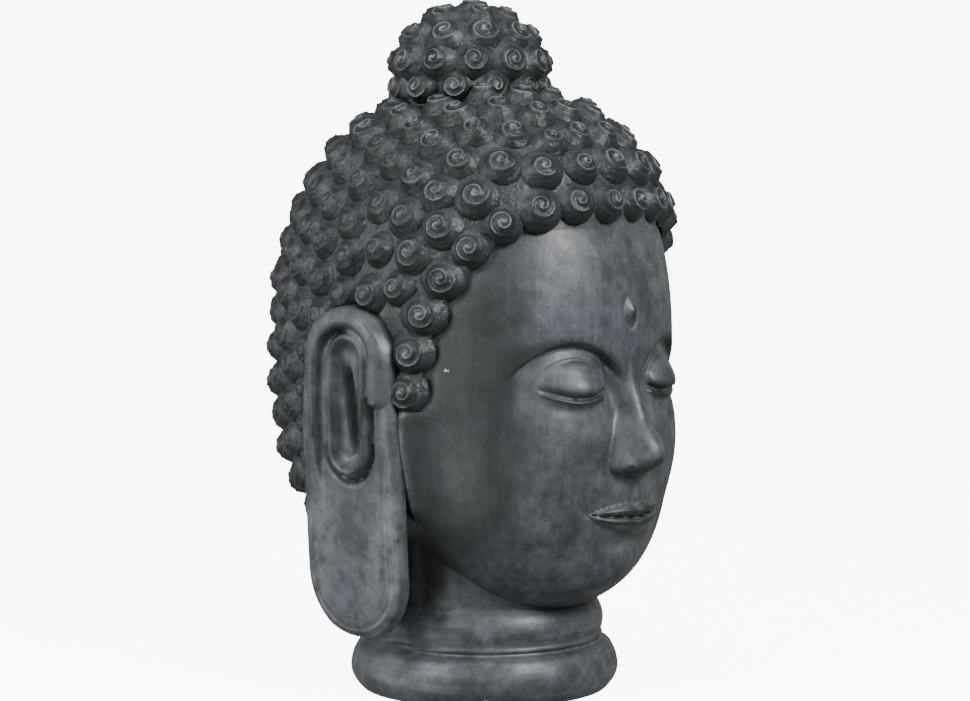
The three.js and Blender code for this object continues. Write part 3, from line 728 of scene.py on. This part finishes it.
def head_piece():
    """The whole casting as one piece that stands for the CAD solid, centred in its box."""
    body = joined([head_shape(), crown_shape(), neck_shape(), ear_shape(1), ear_shape(-1)])
    body_points, body_faces = thinned(*body, most=BODY_TRIANGLES)
    curl_points, curl_faces, crest = curls_on(np.concatenate([head_sites(), crown_sites()]))
    points, faces = joined([(body_points, body_faces), (curl_points, curl_faces)])
    x, y, z = body_points.T
    x = np.abs(x)
    on_ear = in_ear(y, z, 2) & (x > ear_side(z) - 0.6 * EAR["thickness"])
    in_hair = ramp(2, 8, depth_in_hair(np.arctan2(x, SKULL["y"] - y), z)) * (z > 100) * ~on_ear
    # painted shade: the face darkens towards its sides, by the ears and the hairline
    painted_side_shade = ramp(60, 118, x) * (z > 90) * ~on_ear * (1 - in_hair)
    # painted highlight: the lower ear and lobe get higher relief, so more of the paler brushed grey
    painted_lobe_highlight = on_ear * ramp(230, 170, z)
    # relief above 0.5 marks crests for dry brushing; below it, creases and hollows take painted shade
    relief = 0.5 + 5.0 * bulge(body_points, body_faces)
    relief = clamp(relief - 0.16 * in_hair - 0.28 * painted_side_shade + 0.3 * painted_lobe_highlight)
    # curls: crests take the brushed grey; grooves, feet and lower sides take the painted shade
    relief = np.r_[relief, 0.2 + 0.8 * crest]
    hair = np.r_[in_hair, np.ones_like(crest)]

    middle = (points.min(axis=0) + points.max(axis=0)) / 2
    shift = (CAD_LOW[1] + CAD_HIGH[1]) / 2 / MM - middle[1]
    points[:, 1] += shift
    mesh = mesh_of(NODE + "_carved", points * MM, faces)
    for name, values in (("relief", relief), ("hair", hair)):
        attribute = mesh.attributes.new(name, "FLOAT", "POINT")
        attribute.data.foreach_set("value", values.astype(np.float32))
    mesh.polygons.foreach_set("use_smooth", np.ones(len(mesh.polygons), bool))
    mesh.set_sharp_from_angle(angle=math.radians(55))
    piece = object_of(mesh)
    foot_turn = CHIPS["foot_turn"] * DEG
    foot = neck_radius(CHIPS["foot_z"], foot_turn)
    chips = [head_point(CHIPS["cheek_turn"] * DEG, CHIPS["cheek_tilt"] * DEG),
             stack(foot * math.sin(foot_turn), -foot * math.cos(foot_turn), CHIPS["foot_z"])]
    piece.data.materials.append(slate_coat_with_painted_shade([(chip + (0, shift, 0)) * MM for chip in chips]))
    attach(piece, "root")
    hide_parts(NODE)
    return piece


# ---- Finish: slate coat with painted shade and painted highlights ----
BLUE_SLATE = (0.050, 0.058, 0.072)
GREEN_SLATE = (0.055, 0.063, 0.063)
BRUSHED_AND_HIGHLIGHT_GREY = (0.2, 0.215, 0.235)
# near black, laid on as painted shade in hollows, creases and curl grooves
PAINTED_SHADE_BLACK = (0.008, 0.011, 0.010)
CHIPPED_PALE = (0.5, 0.52, 0.52)


def add_node(tree, kind, inputs=None, **settings):
    """A node with its settings and inputs. A socket is linked, and any other input is a value."""
    node = tree.nodes.new(kind)
    for name, value in settings.items():
        setattr(node, name, value)
    for name, value in (inputs or {}).items():
        if isinstance(value, bpy.types.NodeSocket):
            tree.links.new(value, node.inputs[name])
        else:
            node.inputs[name].default_value = value
    return node


def blended(tree, amount, under, over):
    """One colour laid over another by an amount from 0 to 1."""
    node = add_node(tree, "ShaderNodeMix", {0: amount}, data_type="RGBA")
    for socket, colour in ((6, under), (7, over)):
        if isinstance(colour, bpy.types.NodeSocket):
            tree.links.new(colour, node.inputs[socket])
        else:
            node.inputs[socket].default_value = (*colour, 1)
    return node.outputs[2]


def maths(tree, operation, a, b):
    return add_node(tree, "ShaderNodeMath", {0: a, 1: b}, operation=operation).outputs[0]


def coated(tree, coat, mask, strength, colour):
    """A further colour over the coat, where the mask is, at a strength from 0 to 1."""
    return blended(tree, maths(tree, "MULTIPLY", mask, strength), coat, colour)


def vector_maths(tree, operation, a, b, output="Vector"):
    return add_node(tree, "ShaderNodeVectorMath", {0: a, 1: b}, operation=operation).outputs[output]


def between(tree, value, low, high, out_low=0.0, out_high=1.0):
    """A smooth step of a value from low to high."""
    return add_node(tree, "ShaderNodeMapRange", {
        "Value": value, "From Min": low, "From Max": high, "To Min": out_low, "To Max": out_high},
        interpolation_type="SMOOTHSTEP").outputs[0]


def noise(tree, place, scale, detail=3.0, roughness=0.55, output="Fac"):
    return add_node(tree, "ShaderNodeTexNoise", {
        "Vector": place, "Scale": scale, "Detail": detail, "Roughness": roughness}).outputs[output]


def drawn_out(tree, place, scale):
    """Noise with its own scale along each axis, for streaks."""
    place = add_node(tree, "ShaderNodeMapping", {"Vector": place, "Scale": scale}).outputs[0]
    return noise(tree, place, 1.0, 4.0, 0.6)


def slate_coat_with_painted_shade(chips):
    """A dark slate coat: blue and green grey patches with lighter and darker mottling and streaks.

    The streaks run down the head and round the foot. The hair is darker, crests are brushed paler,
    hollows, creases and curl grooves get painted shade near black, the lobe and the curls' upper sides
    get painted highlights, and chips show the pale casting.
    """
    material = bpy.data.materials.new("dry_brushed_slate_with_painted_shade")
    material.use_nodes = True
    tree = material.node_tree
    tree.nodes.clear()
    place = add_node(tree, "ShaderNodeTexCoord").outputs["Object"]
    height = add_node(tree, "ShaderNodeSeparateXYZ", {0: place}).outputs["Z"]
    relief = add_node(tree, "ShaderNodeAttribute", attribute_name="relief").outputs["Fac"]
    hair = add_node(tree, "ShaderNodeAttribute", attribute_name="hair").outputs["Fac"]
    # ambient occlusion, used below to paint shade into hemmed-in places
    open_air = add_node(tree, "ShaderNodeAmbientOcclusion", {"Distance": 0.022}, samples=8)

    patches = noise(tree, place, 9.0)
    mottle = noise(tree, place, 60.0, 6.0, 0.65)
    stains = noise(tree, place, 26.0, 6.0, 0.7)
    specks = noise(tree, place, 330.0, 3.0, 0.6)
    on_foot = between(tree, height, 0.10, 0.08)
    runs = drawn_out(tree, place, (150, 150, 11))
    rounds = drawn_out(tree, place, (12, 12, 220))
    streaks = add_node(tree, "ShaderNodeMix", {0: on_foot, 2: runs, 3: rounds}).outputs[0]

    coat = blended(tree, between(tree, patches, 0.35, 0.65), BLUE_SLATE, GREEN_SLATE)
    coat = coated(tree, coat, between(tree, mottle, 0.45, 0.75), 1.0, (0.100, 0.112, 0.126))
    coat = coated(tree, coat, between(tree, mottle, 0.5, 0.32), 0.8, (0.024, 0.028, 0.036))
    coat = coated(tree, coat, between(tree, stains, 0.53, 0.36), 0.68, (0.020, 0.024, 0.026))
    coat = coated(tree, coat, between(tree, stains, 0.54, 0.72), 0.4, (0.115, 0.125, 0.138))
    coat = coated(tree, coat, between(tree, streaks, 0.5, 0.72), 0.35, (0.105, 0.118, 0.132))
    coat = coated(tree, coat, between(tree, streaks, 0.46, 0.3), 0.45, (0.026, 0.030, 0.036))
    coat = coated(tree, coat, between(tree, specks, 0.38, 0.28), 0.7, (0.014, 0.017, 0.019))
    coat = coated(tree, coat, hair, 0.6, (0.014, 0.018, 0.022))
    # dry brushing on crests, which also lays the painted highlight on the lobe and on the curls' upper
    # sides
    brushed = maths(tree, "MULTIPLY", between(tree, relief, 0.6, 1.0), between(tree, mottle, 0.3, 0.6))
    coat = coated(tree, coat, brushed, 0.75, BRUSHED_AND_HIGHLIGHT_GREY)
    # painted shade: hemmed-in places and low relief (creases, curl grooves, the curls' lower sides) go
    # near black
    hidden = between(tree, open_air.outputs["AO"], 0.85, 0.35)
    sunk = maths(tree, "MULTIPLY", between(tree, relief, 0.42, 0.15), 0.95)
    coat = coated(tree, coat, maths(tree, "MAXIMUM", hidden, sunk), 0.9, PAINTED_SHADE_BLACK)

    wander = CHIPS["wander"] * MM
    ragged = vector_maths(tree, "MULTIPLY", noise(tree, place, 400.0, 2.0, 0.5, "Color"), (wander,) * 3)
    flat = Vector((1, 1, CHIPS["flat"]))
    ragged = vector_maths(tree, "MULTIPLY", vector_maths(tree, "ADD", place, ragged), flat)
    for chip in chips:
        centre = (Vector(chip) + Vector((wander / 2,) * 3)) * flat
        away = vector_maths(tree, "DISTANCE", ragged, centre, "Value")
        edge = CHIPS["size"] * MM
        coat = blended(tree, between(tree, away, edge, 0.6 * edge), coat, CHIPPED_PALE)

    grain = maths(tree, "ADD", maths(tree, "MULTIPLY", specks, 0.6), streaks)
    lumps = maths(tree, "MULTIPLY", noise(tree, place, 130.0), hair)
    uneven = add_node(tree, "ShaderNodeBump", {"Strength": 0.7, "Distance": 0.003, "Height": lumps})
    bump = add_node(tree, "ShaderNodeBump", {"Strength": 0.3, "Distance": 0.0008, "Height": grain,
                    "Normal": uneven.outputs[0]})
    shader = add_node(tree, "ShaderNodeBsdfPrincipled", {
        "Base Color": coat, "Roughness": between(tree, mottle, 0.2, 0.8, 0.5, 0.38),
        "Normal": bump.outputs[0], "Specular IOR Level": between(tree, hair, 0, 1, 0.5, 0.36)})
    output = add_node(tree, "ShaderNodeOutputMaterial")
    tree.links.new(shader.outputs[0], output.inputs[0])
    return material


def pale_finish():
    """Pale paint that shines of itself, so that floor and wall stay near white."""
    material = bpy.data.materials.new("pale_studio_paint")
    material.use_nodes = True
    shader = material.node_tree.nodes["Principled BSDF"]
    shader.inputs["Base Color"].default_value = (0.9, 0.9, 0.9, 1)
    shader.inputs["Roughness"].default_value = 0.9
    shader.inputs["Emission Color"].default_value = (1, 1, 1, 1)
    shader.inputs["Emission Strength"].default_value = 9.0
    return material


# ---- Studio ----
MIDDLE = Vector((0, 0, 0.3))


def round_the_head(azimuth, elevation, distance):
    """The place at a distance in metres from the head's middle, seen from it at two angles."""
    return MIDDLE + distance * Vector((
        math.sin(azimuth) * math.cos(elevation), -math.cos(azimuth) * math.cos(elevation),
        math.sin(elevation)))


def camera():
    """Stands to the head's right and a little above its middle."""
    lens = bpy.data.cameras.new("camera")
    lens.lens = 102.4
    lens.sensor_width = 36
    eye = bpy.data.objects.new("camera", lens)
    bpy.context.scene.collection.objects.link(eye)
    eye.location = round_the_head(azimuth=-48 * DEG, elevation=4.5 * DEG, distance=2.4)
    aim = Vector((0, 0, 0.2926)) - eye.location
    eye.rotation_euler = aim.to_track_quat("-Z", "Y").to_euler()
    bpy.context.scene.camera = eye


def soft_light(name, azimuth, elevation, distance, power, size):
    """A square soft box round the head, seen from it at an azimuth and elevation in degrees."""
    lamp = bpy.data.lights.new(name, "AREA")
    lamp.energy = power
    lamp.size = size
    holder = bpy.data.objects.new(name, lamp)
    bpy.context.scene.collection.objects.link(holder)
    holder.location = round_the_head(azimuth * DEG, elevation * DEG, distance)
    holder.rotation_euler = (MIDDLE - holder.location).to_track_quat("-Z", "Y").to_euler()


def studio():
    """A round floor that sweeps up into a wall and a dome, a pale sky, and five soft boxes.

    The sweep's profile is a quarter circle: radius = flat + bend sin t, height = bend (1 - cos t).
    """
    flat, bend, sides, rings = 6.0, 9.0, 64, 24
    swing = np.linspace(0, 0.97 * math.pi, rings)
    inward = np.where(swing < math.pi / 2, 1, np.sin(swing))
    radius = np.r_[0.6, 2.0, 4.0, flat * inward + bend * np.sin(swing)]
    height = np.r_[0, 0, 0, bend * (1 - np.cos(swing))]
    turn = np.arange(sides) * 2 * math.pi / sides
    loops = stack(radius[:, None] * np.sin(turn), -radius[:, None] * np.cos(turn), height[:, None])
    points, faces = capped(loops, (0, 0, 0), (0, 0, height[-1]))
    sweep = object_of(mesh_of("studio_sweep", points, faces))
    sweep.data.polygons.foreach_set("use_smooth", np.ones(len(sweep.data.polygons), bool))
    sweep.data.materials.append(pale_finish())
    sweep.visible_diffuse = False
    sweep.visible_glossy = False
    sweep.visible_shadow = False
    world = bpy.data.worlds.new("studio")
    bpy.context.scene.world = world
    world.use_nodes = True
    sky = world.node_tree.nodes["Background"]
    sky.inputs[0].default_value = (1, 1, 1, 1)
    sky.inputs[1].default_value = 0.29
    soft_light("left_box", -94, 28, 2.2, 33, 0.7)
    soft_light("side_box", -130, 8, 2.2, 14, 1.0)
    soft_light("low_box", -98, -22, 2.2, 14, 1.0)
    soft_light("right_box", -4, 30, 2.2, 56, 0.7)
    soft_light("top_box", -60, 75, 2.2, 21, 0.9)


camera()
studio()
head_piece()
